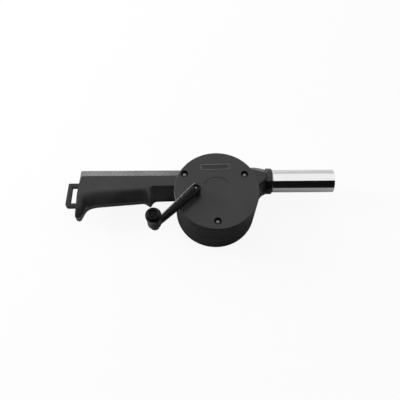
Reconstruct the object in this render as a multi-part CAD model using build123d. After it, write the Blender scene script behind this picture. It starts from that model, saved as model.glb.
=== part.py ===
from build123d import *
import os
from math import acos, atan2, cos, degrees, hypot, pi, radians, sin, sqrt, tan

# Hand-cranked forge blower, in millimetres. It lies on the back of its drum: the origin is where
# the drum's axis meets that face, +Z comes out of the front cover, +X runs from the handle to the
# outlet tube. Two moulded shells meet at a parting plane that also holds the tube's axis. The
# crank drives a fan in the rear of the drum through two pairs of gears behind the front cover.

# ---------------------------------------------------------------- driving sizes
# Drum
FACE_RADIUS = 44.0          # outside radius at the front face
BACK_RADIUS = 42.65         # outside radius at the back face
DRUM_DEPTH = 53.2
WALL = 2.4                  # shell wall, sides and back
FRONT_WALL = 2.4
FACE_FILLET = 0.9
BACK_FILLET = 1.6
PARTING_Z = 26.6            # parting plane of the shells, height of the tube's axis

# Handle: outline at the side flats and the smaller outline of the front flat
HANDLE_REACH = 148.3        # from the drum's axis to the outermost point of the pommel
HANDLE_HALF_DEPTH = 11.4    # from the parting plane to the front flat
SIDE_FLAT = 3.4             # from the parting plane to the start of the chamfer
GRIP_TOP = 35.9
CREASE_TOP = 25.3
NECK_BOTTOM = 2.3
NECK_CREASE = 13.7
HANDLE_POST_RADIUS = 4.6
HANDLE_SCREW_SPOTS = ((86.0, 19.2), (20.0, 17.0))   # from the pommel's end, and height

# Outlet
TUBE_HEIGHT = 23.6          # Y of the tube's axis
TUBE_RADIUS = 12.15
TUBE_WALL = 0.8
TUBE_REACH = 73.9           # how far the tube's end stands out of the duct
TUBE_SEAT_DEPTH = 9.6       # how deep the tube sits in the duct
TUBE_SHOULDER = 0.6         # step of the air passage inside the tube's end
TUBE_SEAT_STEP = 0.2        # the tube is this much smaller where duct and collar hold it
TUBE_SEAT_SHOW = 0.5        # and for this much beyond the collar
TUBE_LIP = 0.45
DUCT_REACH = 9.6            # from the drum's rim to the duct's mouth, along X
DUCT_HALF_DEPTH = 14.4      # from the parting plane to the duct's front flat
COLLAR_LENGTH = 7.4
COLLAR_RADIUS = 14.05
COLLAR_FILLET = 1.7
COLLAR_GROOVE = 0.7
GROOVE_PLACES = (0.08, 0.77)   # shares of the collar's length

# Hanging loop at the pommel
LOOP_DEPTH = 5.0
LOOP_BAR = 4.5              # upper and lower bar
LOOP_END_BAR = 5.2
LOOP_TOP = 21.3
LOOP_BOTTOM = -7.1
LOOP_REACH = 11.55          # how far the loop stands out of the handle's end
LOOP_ANCHOR = 2.5           # width of the bar held inside the handle
LOOP_PLAY = 1.6             # from the handle's end wall to that bar
LOOP_CORNER = 2.2

# Cover details
BOSS_RADIUS = 4.4           # posts of the rear shell, and cups under the recesses
POST_RADIUS = 3.4           # posts of the front shell below those cups
BOSS_ANGLES = (150.2, 31.8, -89.5)
BOSS_INSETS = (5.75, 9.42, 9.1)    # distances in from the face's rim
RECESS_RADIUS = 3.6
RECESS_DEPTH = 2.8
RECESS_FLOOR_WALL = 1.4
DISC_RADIUS = 14.9          # shallow round recess in the middle of the face
DISC_DEPTH = 0.5
BADGE_SIZE = (30.4, 6.8)
BADGE_PLACE = (-1.1, 26.8)
BADGE_TURN = 1.2
BADGE_THICKNESS = 0.8
BADGE_POCKET = 0.5

# Screws
SCREW_RADIUS = 1.5
SCREW_PLAY = 0.2            # around a screw that passes through
HEAD_PLAY = 0.15
SCREW_LENGTH = 20.0
HEAD_RADIUS = 2.75
HEAD_HEIGHT = 1.8
CROSS_WIDTH = 0.7
HANDLE_SCREW_LENGTH = 14.0
HANDLE_RECESS_DEPTH = 2.6
HUB_SCREW_LENGTH = 8.5

# Crank
SHAFT_ANGLE = 187.454       # where the shaft comes out of the cover
SHAFT_INSET = 22.418        # distance in from the face's rim
CRANK_RADIUS = 56.852       # from the shaft to the knob's pin
CRANK_ANGLE = 224.715
SHAFT_RADIUS = 3.0
SHAFT_FLAT = 2.4            # from the shaft's axis to its flat
ARM_STANDOFF = 5.8          # from the cover to the arm's back
ARM_DEPTH = 6.5
HUB_CAP = 4.2               # of the arm, in front of the shaft's end
ARM_HUB_RADIUS = 5.1
ARM_TIP_RADIUS = 2.6
ARM_PAD_RADIUS = 4.6
ARM_END = 4.1               # from the shaft's axis to the arm's blunt end
HUB_RADIUS = 4.1
RIB_WIDTH = 4.0
RIB_HEIGHT = 0.75
HUB_HEAD_RADIUS = 2.2       # of the screw in the hub
HUB_SINK = 1.0              # how far that screw's head lies below the arm's front
KNOB_LENGTH = 23.5
KNOB_RADIUS = 7.0
KNOB_RIM_RADIUS = 7.7
KNOB_SINK = 2.5
KNOB_FOOT = (0.7, 0.9)      # chamfer at the knob's foot, across and up
KNOB_CROWN = (2.0, 3.3)     # cone at the knob's end, across and down
KNOB_FLARE = (10.0, 6.8)    # start and end of the flare to the rim, down from the end
PIN_RADIUS = 2.0
PIN_HEAD_RADIUS = 3.5
PIN_HEAD_HEIGHT = 1.4
RIVET_SPREAD = 0.9
RIVET_HEIGHT = 0.8

# Gears
MODULE = 0.8
PRESSURE_ANGLE = 20.0
DRIVE_TEETH = 44
IDLER_WHEEL_TEETH = 36
PINION_TEETH = 10
TOOTH_PLAY = 0.14           # taken off each tooth's thickness at the pitch circle
WHEEL_WIDTH = 3.5
WHEEL_STEP = 1.0            # between the idler's wheel and the drive gear
PINION_OVERHANG = 0.4
WHEEL_ADDENDUM = 0.6        # in modules
PINION_ADDENDUM = 1.0
AXLE_RADIUS = 1.5

# Gear plate and bearings
GEAR_SPACE = 10.2           # from the gear plate to the cover's inside
PLATE_THICKNESS = 1.8
BUSH_WALL = 1.5
FLANGE_SPREAD = 1.2
BUSH_FLANGE = 1.2

# Fan
FAN_SHAFT_RADIUS = 1.5
FAN_RADIUS = 29.0
FAN_FRONT_GAP = 2.3         # between the fan's disc and the gear plate
FAN_TIP_GAP = 0.5           # from the blades' tips to the disc's rim
FAN_DISC = 1.5
FAN_HUB_RADIUS = 4.8
BLADES = 10
BLADE_THICKNESS = 1.4
REAR_BOSS_RADIUS = 5.4
REAR_BOSS_HEIGHT = 6.2
REAR_FLANGE = 0.6
RETAINER_THICKNESS = 0.7
INTAKE_RINGS = ((7.4, 11.2), (13.2, 17.0), (19.0, 22.8))
INTAKE_SPOKES = 8
SPOKE_WIDTH = 2.6

# Clearances
RUN = 0.05                  # radial clearance of a running fit
HELD = 0.02                 # radial clearance of a part that is held still
GAP = 0.3                   # between faces that pass each other

# ---------------------------------------------------------------- sizes that follow
FACE_INSIDE = DRUM_DEPTH - FRONT_WALL
DUCT_END = FACE_RADIUS + DUCT_REACH
TUBE_START = DUCT_END - TUBE_SEAT_DEPTH
TUBE_END = DUCT_END + TUBE_REACH
TUBE_BORE = TUBE_RADIUS - TUBE_WALL
TUBE_SEAT_RADIUS = TUBE_RADIUS - TUBE_SEAT_STEP
TUBE_SEAT_END = DUCT_END + COLLAR_LENGTH + TUBE_SEAT_SHOW
PLATE_TOP = FACE_INSIDE - GEAR_SPACE
PLATE_BOTTOM = PLATE_TOP - PLATE_THICKNESS
WHEEL_BOTTOM = PLATE_TOP + GAP
WHEEL_TOP = WHEEL_BOTTOM + WHEEL_WIDTH
DRIVE_BOTTOM = WHEEL_TOP + WHEEL_STEP
DRIVE_TOP = DRIVE_BOTTOM + WHEEL_WIDTH
ARM_BACK = DRUM_DEPTH + ARM_STANDOFF
ARM_FRONT = ARM_BACK + ARM_DEPTH
SHAFT_END = ARM_FRONT - HUB_CAP
HUB_SEAT = ARM_FRONT - HUB_SINK - HEAD_HEIGHT
KNOB_BOTTOM = ARM_FRONT + GAP
KNOB_TOP = KNOB_BOTTOM + KNOB_LENGTH
FAN_SHAFT_END = WHEEL_TOP + PINION_OVERHANG
RETAINER_BOTTOM = REAR_BOSS_HEIGHT + REAR_FLANGE + GAP
FAN_BACK = RETAINER_BOTTOM + RETAINER_THICKNESS
FAN_FRONT = PLATE_BOTTOM - FAN_FRONT_GAP
DRIVE_SPACING = MODULE * (DRIVE_TEETH + PINION_TEETH) / 2
FAN_SPACING = MODULE * (IDLER_WHEEL_TEETH + PINION_TEETH) / 2


def from_rim(angle, inset):
    """A spot on the cover, by its angle and its distance in from the rim."""
    reach = FACE_RADIUS - inset
    return reach * cos(radians(angle)), reach * sin(radians(angle))


BOSS_SPOTS = [from_rim(angle, inset) for angle, inset in zip(BOSS_ANGLES, BOSS_INSETS)]
CRANK_AXIS = from_rim(SHAFT_ANGLE, SHAFT_INSET)
KNOB_AXIS = (CRANK_AXIS[0] + CRANK_RADIUS * cos(radians(CRANK_ANGLE)),
             CRANK_AXIS[1] + CRANK_RADIUS * sin(radians(CRANK_ANGLE)))
RECESS_FLOOR = DRUM_DEPTH - RECESS_DEPTH


def meeting_point(first, reach_first, second, reach_second):
    """The upper point at the two given distances from two axes."""
    dx, dy = second[0] - first[0], second[1] - first[1]
    span = hypot(dx, dy)
    along = (span ** 2 + reach_first ** 2 - reach_second ** 2) / (2 * span)
    aside = sqrt(reach_first ** 2 - along ** 2)
    return (first[0] + (along * dx - aside * dy) / span,
            first[1] + (along * dy + aside * dx) / span)


FAN_AXIS = (0.0, 0.0)
IDLER_AXIS = meeting_point(CRANK_AXIS, DRIVE_SPACING, FAN_AXIS, FAN_SPACING)


# ---------------------------------------------------------------- helpers
def cylinder(radius, bottom, top, at=(0, 0)):
    return Pos(at[0], at[1], (bottom + top) / 2) * Cylinder(radius, top - bottom)


def ring(outer, inner, bottom, top, at=(0, 0)):
    return cylinder(outer, bottom, top, at) - cylinder(inner, bottom, top, at)


def d_rod(radius, flat, bottom, top, at):
    """A round rod with one flat, on its -Y side."""
    middle = Pos(at[0], at[1] - flat - radius, (bottom + top) / 2)
    return cylinder(radius, bottom, top, at) - middle * Box(4 * radius, 2 * radius, top - bottom)


def along_x(radius, start, end):
    """A round rod on the outlet's axis."""
    return Pos((start + end) / 2, TUBE_HEIGHT, PARTING_Z) * Rot(0, 90, 0) * Cylinder(radius, end - start)


def drum_radius(height):
    return BACK_RADIUS + (FACE_RADIUS - BACK_RADIUS) * height / DRUM_DEPTH


def drum_slice(bottom, top, inset=0.0):
    cone = Cone(drum_radius(bottom) - inset, drum_radius(top) - inset, top - bottom)
    return Pos(0, 0, (bottom + top) / 2) * cone


def outline(points, height):
    return Pos(0, 0, height) * make_face(Polyline(*points, close=True))


def to_rear(shape):
    return mirror(shape, about=Plane.XY.offset(PARTING_Z))


def screw(at, seat, length, down=True, radius=HEAD_RADIUS):
    """A screw whose head sits on the seat, with a cross in its head."""
    head = cylinder(radius, 0, HEAD_HEIGHT)
    for turn in (0, 90):
        head -= Pos(0, 0, HEAD_HEIGHT) * Rot(0, 0, turn) * Box(1.3 * radius, CROSS_WIDTH, HEAD_HEIGHT)
    body = head + cylinder(SCREW_RADIUS, -length, 0)
    if not down:
        body = Rot(180, 0, 0) * body
    return Pos(at[0], at[1], seat) * body


# ---------------------------------------------------------------- gears
def involute(angle):
    return tan(angle) - angle


def gear_outline(teeth, addendum, tooth_at):
    """Involute teeth; one tooth points along tooth_at, in degrees."""
    pitch = MODULE * teeth / 2
    base = pitch * cos(radians(PRESSURE_ANGLE))
    tip = pitch + addendum * MODULE
    root = pitch - 1.2 * MODULE
    half_pitch_tooth = pi / (2 * teeth) - TOOTH_PLAY / (2 * pitch)
    flank_start = max(base, root)
    steps = 4
    points = []
    for tooth in range(teeth):
        middle = radians(tooth_at) + 2 * pi * tooth / teeth
        flank = []
        for step in range(steps + 1):
            radius = flank_start + (tip - flank_start) * step / steps
            half = half_pitch_tooth + involute(radians(PRESSURE_ANGLE)) - involute(acos(base / radius))
            flank.append((radius, half))
        if root < base:
            flank.insert(0, (root, flank[0][1]))
        side = [(radius, middle - half) for radius, half in flank]
        side += [(radius, middle + half) for radius, half in reversed(flank)]
        points += [(radius * cos(angle), radius * sin(angle)) for radius, angle in side]
    return make_face(Polyline(*points, close=True))


def gear(teeth, addendum, tooth_at, bottom, top, at):
    return Pos(at[0], at[1], bottom) * extrude(gear_outline(teeth, addendum, tooth_at), top - bottom)


def direction(start, end):
    return degrees(atan2(end[1] - start[1], end[0] - start[0]))


TO_IDLER = direction(CRANK_AXIS, IDLER_AXIS)
TO_FAN = direction(IDLER_AXIS, FAN_AXIS)
HALF_PINION_TOOTH = 180 / PINION_TEETH


# ---------------------------------------------------------------- handle and duct forms
def handle_outlines(root):
    """Outlines of the handle, from the pommel's end (x = 0) to root, wide one first."""
    wide = [(root, GRIP_TOP), (2.6, GRIP_TOP), (1.3, 21.0), (0.6, 8.0), (0.0, -5.0), (0.0, -14.0),
            (0.3, -19.6), (3.4, -21.4), (5.8, -21.0), (7.3, -18.0), (9.1, -13.4), (12.0, -8.6),
            (18.3, -6.0), (25.8, -5.1), (46.3, -3.4), (72.0, -1.3), (78.7, -5.7), (81.6, -0.5),
            (84.4, NECK_BOTTOM - 1.2), (root, NECK_BOTTOM)]
    narrow = [(root, CREASE_TOP), (5.4, CREASE_TOP), (3.3, 17.0), (2.3, 7.0), (2.0, 1.0), (2.3, -1.5),
              (2.9, -2.6), (3.9, -2.4), (4.9, -0.8), (6.1, 1.0), (8.0, 3.0), (11.3, 5.2),
              (16.8, 7.3), (25.8, 8.9), (46.3, 10.0), (68.3, 11.2), (76.8, 12.0), (80.8, 12.6),
              (83.6, NECK_CREASE - 0.5), (root, NECK_CREASE)]
    return wide, narrow


def at_pommel(points):
    return [(x - HANDLE_REACH, y) for x, y in points]


def handle_half(root):
    wide, narrow = handle_outlines(root)
    shoulder = PARTING_Z + SIDE_FLAT
    flats = extrude(outline(at_pommel(wide), PARTING_Z), SIDE_FLAT)
    bevels = loft([outline(at_pommel(wide), shoulder),
                   outline(at_pommel(narrow), PARTING_Z + HANDLE_HALF_DEPTH)], ruled=True)
    return flats + bevels


def handle_cavity(root):
    """Hollow of one handle half, in two steps that follow the chamfers."""
    wide, narrow = handle_outlines(root)
    low = extrude(offset(outline(at_pommel(wide), PARTING_Z), -WALL, kind=Kind.INTERSECTION),
                  SIDE_FLAT - 0.7)
    high = extrude(offset(outline(at_pommel(narrow), PARTING_Z), -0.6, kind=Kind.INTERSECTION),
                   HANDLE_HALF_DEPTH - WALL)
    return low + high - cylinder(FACE_RADIUS + WALL, 0, DRUM_DEPTH)


def duct_half():
    """Outlet duct, flared out of the drum, with a flat front that ends in a nose."""
    # distance back from the duct's mouth, and height over the tube's axis
    wide = [(31.6, 12.9), (14.9, 15.4), (9.9, 15.3), (3.5, 14.0), (0, 13.0), (0, 6.4), (0, -0.6),
            (0, -7.6), (0, -14.3), (1.7, -15.0), (4.3, -16.4), (6.4, -19.2), (9.4, -23.8),
            (15.6, -31.6), (31.6, -31.6)]
    narrow = [(31.6, 7.4), (14.7, 7.0), (10.5, 5.8), (6.3, 5.0), (3.2, 4.1), (1.2, 2.2),
              (0.3, -1.1), (0.7, -4.1), (2.2, -5.7), (3.7, -6.9), (5.4, -8.4), (7.1, -9.7),
              (10.6, -12.6), (17.6, -19.6), (31.6, -19.6)]
    wide = [(DUCT_END - back, TUBE_HEIGHT + up) for back, up in wide]
    narrow = [(DUCT_END - back, TUBE_HEIGHT + up) for back, up in narrow]
    shoulder = PARTING_Z + SIDE_FLAT
    flats = extrude(outline(wide, PARTING_Z), SIDE_FLAT)
    bevels = loft([outline(wide, shoulder), outline(narrow, PARTING_Z + DUCT_HALF_DEPTH)], ruled=True)
    return flats + bevels


def duct_bore():
    passage = along_x(TUBE_BORE - TUBE_SHOULDER, 0, TUBE_START)
    return passage + along_x(TUBE_SEAT_RADIUS + HELD, TUBE_START, DUCT_END + 1)


HANDLE_ROOT = HANDLE_REACH - 18.0     # hidden inside the drum's wall
POST_SPOTS = [(x - HANDLE_REACH, y) for x, y in HANDLE_SCREW_SPOTS]
POST_ROOF = PARTING_Z + HANDLE_HALF_DEPTH - 0.5 * WALL


def loop_slots():
    """Slots through the handle's end for the loop's two bars."""
    slots = Part()
    for low, high in ((LOOP_TOP - LOOP_BAR, LOOP_TOP), (LOOP_BOTTOM, LOOP_BOTTOM + LOOP_BAR)):
        size = (3.4 * WALL, high - low + 2 * RUN, LOOP_DEPTH + 2 * RUN)
        slots += Pos(-HANDLE_REACH + WALL, (low + high) / 2, PARTING_Z) * Box(*size)
    return slots


# ---------------------------------------------------------------- housing
def front_shell():
    drum = drum_slice(PARTING_Z, DRUM_DEPTH)
    drum = fillet(drum.edges().group_by(Axis.Z)[-1], FACE_FILLET)
    shell = drum + handle_half(HANDLE_ROOT) + duct_half()
    shell -= drum_slice(PARTING_Z, FACE_INSIDE, WALL)
    shell -= handle_cavity(HANDLE_ROOT)
    shell -= duct_bore()
    for spot in BOSS_SPOTS:
        shell += cylinder(POST_RADIUS, PLATE_TOP, FACE_INSIDE, spot)
        shell += cylinder(BOSS_RADIUS, RECESS_FLOOR - RECESS_FLOOR_WALL, DRUM_DEPTH - 1, spot)
        shell -= cylinder(RECESS_RADIUS, RECESS_FLOOR, DRUM_DEPTH + 1, spot)
        shell -= cylinder(SCREW_RADIUS + SCREW_PLAY, PLATE_TOP - 1, DRUM_DEPTH, spot)
    for spot in POST_SPOTS:
        shell += cylinder(HANDLE_POST_RADIUS, PARTING_Z, POST_ROOF, spot)
        shell -= cylinder(SCREW_RADIUS + HELD, PARTING_Z - 1, POST_ROOF - WALL, spot)
    shell -= cylinder(SHAFT_RADIUS + RUN + BUSH_WALL + HELD, FACE_INSIDE - 1, DRUM_DEPTH + 1, CRANK_AXIS)
    shell -= cylinder(AXLE_RADIUS + HELD, FACE_INSIDE - 1, FACE_INSIDE + 0.5 * FRONT_WALL, IDLER_AXIS)
    shell -= cylinder(DISC_RADIUS, DRUM_DEPTH - DISC_DEPTH, DRUM_DEPTH + 1)
    shell -= badge(BADGE_POCKET + 1, RUN, DRUM_DEPTH - BADGE_POCKET)
    return shell - loop_slots()


def rear_shell():
    drum = drum_slice(0, PARTING_Z)
    drum = fillet(drum.edges().group_by(Axis.Z)[0], BACK_FILLET)
    shell = drum + to_rear(handle_half(HANDLE_ROOT)) + to_rear(duct_half())
    shell -= drum_slice(WALL, PARTING_Z, WALL)
    shell -= to_rear(handle_cavity(HANDLE_ROOT))
    shell -= duct_bore()
    shell -= intake_slots()
    shell += cylinder(REAR_BOSS_RADIUS, 0.5, REAR_BOSS_HEIGHT, FAN_AXIS)
    shell -= cylinder(FAN_SHAFT_RADIUS + RUN + BUSH_WALL + HELD, WALL, REAR_BOSS_HEIGHT + 1, FAN_AXIS)
    for spot in BOSS_SPOTS:
        shell += cylinder(BOSS_RADIUS, 0.5 * WALL, PARTING_Z, spot)
        tall = cylinder(BOSS_RADIUS, PARTING_Z - 1, PLATE_BOTTOM, spot)
        shell += tall & drum_slice(PARTING_Z - 1, PLATE_BOTTOM, WALL + GAP)
        shell -= cylinder(SCREW_RADIUS + HELD, RECESS_FLOOR - SCREW_LENGTH - 1, PLATE_BOTTOM + 1, spot)
    back = PARTING_Z - HANDLE_HALF_DEPTH
    for spot in POST_SPOTS:
        shell += cylinder(HANDLE_POST_RADIUS, back + 0.5 * WALL, PARTING_Z, spot)
        shell -= cylinder(RECESS_RADIUS, back - 1, back + HANDLE_RECESS_DEPTH, spot)
        shell -= cylinder(SCREW_RADIUS + SCREW_PLAY, back, PARTING_Z + 1, spot)
    return shell - loop_slots()


def intake_slots():
    slots = Part()
    for inner, outer in INTAKE_RINGS:
        slots += ring(outer, inner, -1, WALL + 1, FAN_AXIS)
    reach = INTAKE_RINGS[-1][1] + 2
    for spoke in range(INTAKE_SPOKES):
        bar = Pos(reach / 2, 0, 0) * Box(reach, SPOKE_WIDTH, 4 * WALL)
        slots -= Rot(0, 0, 360 * spoke / INTAKE_SPOKES) * bar
    return slots


def badge(thickness, spread, bottom):
    """Bare name plate, grown by spread on every side."""
    width, height = BADGE_SIZE
    plate = RectangleRounded(width + 2 * spread, height + 2 * spread, 1.0)
    return Pos(*BADGE_PLACE, bottom) * Rot(0, 0, BADGE_TURN) * extrude(plate, thickness)


def hanging_loop():
    """A ring of four bars; the one inside the handle keeps it from pulling out."""
    end = -HANDLE_REACH
    held = end + WALL + LOOP_PLAY + LOOP_ANCHOR
    lean = 0.8
    outer = [(held, LOOP_TOP), (end - LOOP_REACH + 2 * lean, LOOP_TOP),
             (end - LOOP_REACH, LOOP_BOTTOM + 0.6 * LOOP_BAR),
             (end - LOOP_REACH + LOOP_CORNER, LOOP_BOTTOM), (held, LOOP_BOTTOM)]
    hole = [(held - LOOP_ANCHOR, LOOP_TOP - LOOP_BAR),
            (end - LOOP_REACH + LOOP_END_BAR + lean, LOOP_TOP - LOOP_BAR),
            (end - LOOP_REACH + LOOP_END_BAR, LOOP_BOTTOM + LOOP_BAR),
            (held - LOOP_ANCHOR, LOOP_BOTTOM + LOOP_BAR)]
    loop = extrude(outline(outer, PARTING_Z - LOOP_DEPTH / 2), LOOP_DEPTH)
    return loop - extrude(outline(hole, PARTING_Z - LOOP_DEPTH / 2), LOOP_DEPTH)


def outlet_tube():
    tube = along_x(TUBE_RADIUS, TUBE_SEAT_END, TUBE_END)
    tube = fillet(tube.edges().group_by(Axis.X)[-1], TUBE_LIP)
    tube += along_x(TUBE_SEAT_RADIUS, TUBE_START, TUBE_SEAT_END)
    return tube - along_x(TUBE_BORE, TUBE_START - 1, TUBE_END + 1)


def outlet_collar():
    """Grooved ring that closes the gap between the duct and the tube."""
    start, end = DUCT_END, DUCT_END + COLLAR_LENGTH
    collar = along_x(COLLAR_RADIUS, start, end)
    collar = fillet(collar.edges().group_by(Axis.X)[-1], COLLAR_FILLET)
    core = along_x(COLLAR_RADIUS - COLLAR_GROOVE, start - 1, end + 1)
    for place in GROOVE_PLACES:
        groove = start + place * COLLAR_LENGTH
        collar -= along_x(COLLAR_RADIUS + 1, groove - COLLAR_GROOVE / 2, groove + COLLAR_GROOVE / 2) - core
    return collar - along_x(TUBE_SEAT_RADIUS + HELD, start - 1, end + 1)


def gear_plate():
    """Partition between fan and gears, clamped by the cover screws."""
    plate = cylinder(drum_radius(PLATE_BOTTOM) - WALL - GAP, PLATE_BOTTOM, PLATE_TOP)
    holes = [(SCREW_RADIUS + SCREW_PLAY, spot) for spot in BOSS_SPOTS]
    holes += [(SHAFT_RADIUS + RUN, CRANK_AXIS), (AXLE_RADIUS + HELD, IDLER_AXIS),
              (FAN_SHAFT_RADIUS + RUN + BUSH_WALL + HELD, FAN_AXIS)]
    for radius, spot in holes:
        plate -= cylinder(radius, PLATE_BOTTOM - 1, PLATE_TOP + 1, spot)
    return plate


def bush(shaft_radius, at, bottom, top, flange_bottom, flange_top):
    """A plain bearing sleeve with a flange."""
    outer = shaft_radius + RUN + BUSH_WALL
    body = cylinder(outer, bottom, top, at) + cylinder(outer + FLANGE_SPREAD, flange_bottom, flange_top, at)
    return body - cylinder(shaft_radius + RUN, min(bottom, flange_bottom) - 1, max(top, flange_top) + 1, at)


# ---------------------------------------------------------------- crank
def crank_shaft():
    shaft = cylinder(SHAFT_RADIUS, PLATE_BOTTOM, DRIVE_BOTTOM, CRANK_AXIS)
    shaft += d_rod(SHAFT_RADIUS, SHAFT_FLAT, DRIVE_BOTTOM, DRIVE_TOP, CRANK_AXIS)
    shaft += cylinder(SHAFT_RADIUS, DRIVE_TOP, ARM_BACK, CRANK_AXIS)
    shaft += d_rod(SHAFT_RADIUS, SHAFT_FLAT, ARM_BACK, SHAFT_END, CRANK_AXIS)
    return shaft - cylinder(SCREW_RADIUS + HELD, SHAFT_END - HUB_SCREW_LENGTH, SHAFT_END + 1, CRANK_AXIS)


def drive_gear():
    wheel = gear(DRIVE_TEETH, WHEEL_ADDENDUM, TO_IDLER, DRIVE_BOTTOM, DRIVE_TOP, CRANK_AXIS)
    wheel -= d_rod(SHAFT_RADIUS + HELD, SHAFT_FLAT + HELD, DRIVE_BOTTOM - 1, DRIVE_TOP + 1, CRANK_AXIS)
    hub = ring(SHAFT_RADIUS + BUSH_WALL, SHAFT_RADIUS + HELD, WHEEL_BOTTOM, DRIVE_BOTTOM, CRANK_AXIS)
    return wheel + hub


def arm_frame(x, height):
    """A point along the arm, x from the shaft towards the knob."""
    return Pos(*CRANK_AXIS, height) * Rot(0, 0, CRANK_ANGLE) * Pos(x, 0, 0)


def crank_arm():
    """Tapered arm with a raised rib, cut off blunt behind the shaft."""
    ends = Circle(ARM_HUB_RADIUS).edges() + (Pos(CRANK_RADIUS, 0) * Circle(ARM_TIP_RADIUS)).edges()
    bar = extrude(make_hull(ends), ARM_DEPTH - RIB_HEIGHT)
    middle = Pos((CRANK_RADIUS - ARM_END) / 2, 0, ARM_DEPTH / 2)
    bar += middle * Box(CRANK_RADIUS + ARM_END, RIB_WIDTH, ARM_DEPTH)
    bar -= Pos(-ARM_END - ARM_HUB_RADIUS, 0, 0) * Box(2 * ARM_HUB_RADIUS, 4 * ARM_HUB_RADIUS, 4 * ARM_DEPTH)
    arm = arm_frame(0, ARM_BACK) * bar
    arm += cylinder(ARM_PAD_RADIUS, ARM_BACK, ARM_FRONT, KNOB_AXIS)
    arm += cylinder(HUB_RADIUS, DRUM_DEPTH + GAP, ARM_BACK + 1, CRANK_AXIS)
    arm -= cylinder(SHAFT_RADIUS + HELD, DRUM_DEPTH, ARM_BACK, CRANK_AXIS)
    arm -= d_rod(SHAFT_RADIUS + HELD, SHAFT_FLAT + HELD, ARM_BACK, SHAFT_END + HELD, CRANK_AXIS)
    arm -= cylinder(SCREW_RADIUS + HEAD_PLAY, ARM_BACK, ARM_FRONT + 1, CRANK_AXIS)
    arm -= cylinder(HUB_HEAD_RADIUS + HEAD_PLAY, HUB_SEAT, ARM_FRONT + 1, CRANK_AXIS)
    return arm - cylinder(PIN_RADIUS + HELD, ARM_BACK - 1, ARM_FRONT + 1, KNOB_AXIS)


def knob_pin():
    """Pin riveted into the arm, with its head sunk in the knob's end."""
    seat = KNOB_TOP - KNOB_SINK + GAP
    pin = cylinder(PIN_RADIUS, ARM_BACK, seat, KNOB_AXIS)
    pin += cylinder(PIN_HEAD_RADIUS, seat, seat + PIN_HEAD_HEIGHT, KNOB_AXIS)
    return pin + cylinder(PIN_RADIUS + RIVET_SPREAD, ARM_BACK - RIVET_HEIGHT, ARM_BACK, KNOB_AXIS)


def knob_grip():
    bore = PIN_RADIUS + RUN
    sink = PIN_HEAD_RADIUS + GAP
    top = KNOB_LENGTH
    foot_in, foot_up = KNOB_FOOT
    crown_in, crown_down = KNOB_CROWN
    flare_start, flare_end = KNOB_FLARE
    profile = [(bore, 0), (KNOB_RADIUS - foot_in, 0), (KNOB_RADIUS, foot_up),
               (KNOB_RADIUS, top - flare_start), (KNOB_RIM_RADIUS, top - flare_end),
               (KNOB_RIM_RADIUS, top - crown_down), (KNOB_RIM_RADIUS - crown_in, top),
               (sink, top), (sink, top - KNOB_SINK), (bore, top - KNOB_SINK)]
    face = make_face(Polyline(*[(r, 0, z) for r, z in profile], close=True))
    return Pos(*KNOB_AXIS, KNOB_BOTTOM) * revolve(face, Axis.Z)


# ---------------------------------------------------------------- idler and fan
def idler_gear():
    wheel = gear(IDLER_WHEEL_TEETH, WHEEL_ADDENDUM, TO_FAN, WHEEL_BOTTOM, WHEEL_TOP, IDLER_AXIS)
    pinion = gear(PINION_TEETH, PINION_ADDENDUM, TO_IDLER + 180 + HALF_PINION_TOOTH,
                  WHEEL_TOP, DRIVE_TOP + PINION_OVERHANG, IDLER_AXIS)
    return wheel + pinion - cylinder(AXLE_RADIUS + RUN, WHEEL_BOTTOM - 1, DRUM_DEPTH, IDLER_AXIS)


def fan_pinion():
    pinion = gear(PINION_TEETH, PINION_ADDENDUM, TO_FAN + 180 + HALF_PINION_TOOTH,
                  WHEEL_BOTTOM, WHEEL_TOP, FAN_AXIS)
    return pinion - cylinder(FAN_SHAFT_RADIUS + HELD, WHEEL_BOTTOM - 1, WHEEL_TOP + 1, FAN_AXIS)


def impeller():
    """Radial paddle wheel: a disc on the gear side and straight blades towards the intake."""
    fan = cylinder(FAN_RADIUS, FAN_FRONT - FAN_DISC, FAN_FRONT)
    fan += cylinder(FAN_HUB_RADIUS, FAN_BACK, FAN_FRONT)
    height = FAN_FRONT - FAN_DISC / 2 - FAN_BACK
    reach = FAN_RADIUS - FAN_TIP_GAP
    paddle = Pos(reach / 2, 0, FAN_BACK + height / 2) * Box(reach, BLADE_THICKNESS, height)
    for blade in range(BLADES):
        fan += Rot(0, 0, 360 * blade / BLADES) * paddle
    return fan - cylinder(FAN_SHAFT_RADIUS + HELD, 0, DRUM_DEPTH)


def fan_retainer():
    """Collar on the shaft that keeps the fan off the rear bush."""
    return ring(FAN_SHAFT_RADIUS + BUSH_WALL, FAN_SHAFT_RADIUS + HELD, RETAINER_BOTTOM, FAN_BACK, FAN_AXIS)


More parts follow.
